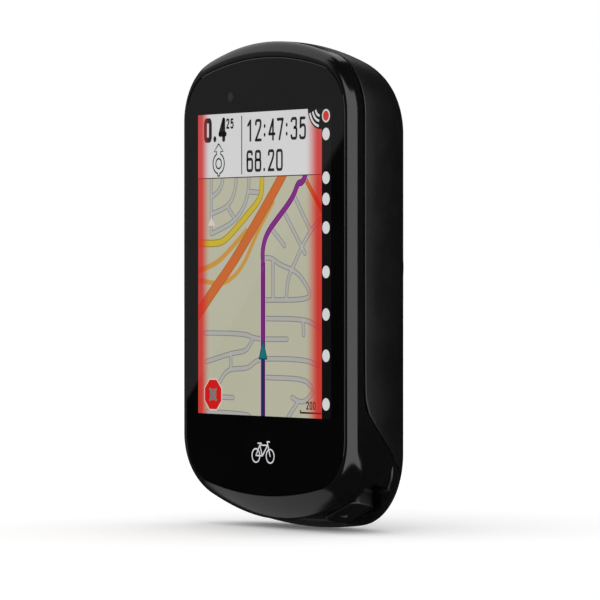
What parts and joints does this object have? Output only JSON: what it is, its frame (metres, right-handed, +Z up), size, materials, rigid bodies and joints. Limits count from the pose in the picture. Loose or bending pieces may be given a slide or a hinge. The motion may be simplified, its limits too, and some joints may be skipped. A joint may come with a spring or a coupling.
{
  "type": "cycling computer",
  "caption": "Handlebar cycling computer: glass-fronted upright case with rounded corners, keys under the chin, rubber port cap and a quarter-turn boss on the back.",
  "frame": {"origin": "centre of the mounting boss's end face, on the back of the case", "axes": "+Z up along the case's long side, +Y out of the back along the boss's axis, +X to the right when the screen is read; the screen faces -Y"},
  "size_m": [0.05, 0.02, 0.082],
  "materials": {
    "front_housing": "glossy black",
    "rear_cover": "fine matte texture",
    "case_gasket": "matte silicone",
    "cover_glass": "black-bordered chemically strengthened glass",
    "glass_adhesive": "pressure-sensitive foam tape",
    "display_panel": "reflective colour display",
    "backlight_unit": "white light guide",
    "display_flex": "amber polyimide",
    "light_sensor": "dark clear window",
    "inner_frame": "glass-filled nylon",
    "main_board": "green solder mask",
    "board_screws": "plated",
    "shield_cans": "tin plated",
    "gnss_antenna": "ceramic with silver electrode",
    "battery": "laminated pouch foil",
    "battery_pad": "soft foam",
    "battery_leads": "silicone wire",
    "buzzer": "moulded",
    "pressure_sensor": "metal can",
    "vent_membrane": "porous membrane",
    "usb_shell": "nickel plated",
    "usb_tongue": "moulded",
    "usb_seal": "silicone",
    "usb_cap": "satin black elastomer",
    "cap_anchor": "satin black elastomer",
    "cover_screws": "black plated",
    "threaded_inserts": "knurled",
    "mount_insert": "glass-filled nylon",
    "mount_screws": "plated",
    "power_button": "satin black",
    "power_seal": "silicone",
    "power_switch": "formed frame",
    "power_plunger": "moulded",
    "lap_button": "satin black",
    "lap_seal": "silicone",
    "lap_switch": "formed frame",
    "lap_plunger": "moulded",
    "start_button": "satin black",
    "start_seal": "silicone",
    "start_switch": "formed frame",
    "start_plunger": "moulded"
  },
  "bodies": {
    "case": {"front_housing": "front_housing", "rear_cover": "rear_cover", "case_gasket": "case_gasket", "cover_glass": "cover_glass", "glass_adhesive": "glass_adhesive", "display_panel": "display_panel", "backlight_unit": "backlight_unit", "display_flex": "display_flex", "light_sensor": "light_sensor", "inner_frame": "inner_frame", "main_board": "main_board", "board_screws": "board_screws", "shield_cans": "shield_cans", "gnss_antenna": "gnss_antenna", "battery": "battery", "battery_pad": "battery_pad", "battery_leads": "battery_leads", "buzzer": "buzzer", "pressure_sensor": "pressure_sensor", "vent_membrane": "vent_membrane", "usb_shell": "usb_shell", "usb_tongue": "usb_tongue", "usb_seal": "usb_seal", "cap_anchor": "cap_anchor", "cover_screws": "cover_screws", "threaded_inserts": "threaded_inserts", "mount_insert": "mount_insert", "mount_screws": "mount_screws", "power_switch": "power_switch", "lap_switch": "lap_switch", "start_switch": "start_switch"},
    "port_cap": {"usb_cap": "usb_cap"},
    "power_key": {"power_button": "power_button", "power_seal": "power_seal"},
    "power_tip": {"power_plunger": "power_plunger"},
    "lap_key": {"lap_button": "lap_button", "lap_seal": "lap_seal"},
    "lap_tip": {"lap_plunger": "lap_plunger"},
    "start_key": {"start_button": "start_button", "start_seal": "start_seal"},
    "start_tip": {"start_plunger": "start_plunger"}
  },
  "joints": [
    {"name": "port_cap_hinge", "type": "hinge", "parent": "case", "child": "port_cap", "pos_m": [0, -0.0074, -0.04215], "axis": [1, 0, 0], "range_deg": [0, 100]},
    {"name": "power_press", "type": "slide", "parent": "case", "child": "power_key", "axis": [1, 0, 0], "range_m": [0, 0.0004]},
    {"name": "lap_press", "type": "slide", "parent": "case", "child": "lap_key", "axis": [0.3416, 0.2198, 0.9138], "range_m": [0, 0.0005]},
    {"name": "start_press", "type": "slide", "parent": "case", "child": "start_key", "axis": [-0.3416, 0.2198, 0.9138], "range_m": [0, 0.0005]},
    {"name": "power_click", "type": "slide", "parent": "case", "child": "power_tip", "axis": [1, 0, 0], "range_m": [0, 0.0004]},
    {"name": "lap_click", "type": "slide", "parent": "case", "child": "lap_tip", "axis": [0.3416, 0.2198, 0.9138], "range_m": [0, 0.0005]},
    {"name": "start_click", "type": "slide", "parent": "case", "child": "start_tip", "axis": [-0.3416, 0.2198, 0.9138], "range_m": [0, 0.0005]}
  ],
  "couplings": [
    {"joint": "power_click", "follows": "power_press", "ratio": 1},
    {"joint": "lap_click", "follows": "lap_press", "ratio": 1},
    {"joint": "start_click", "follows": "start_press", "ratio": 1}
  ]
}
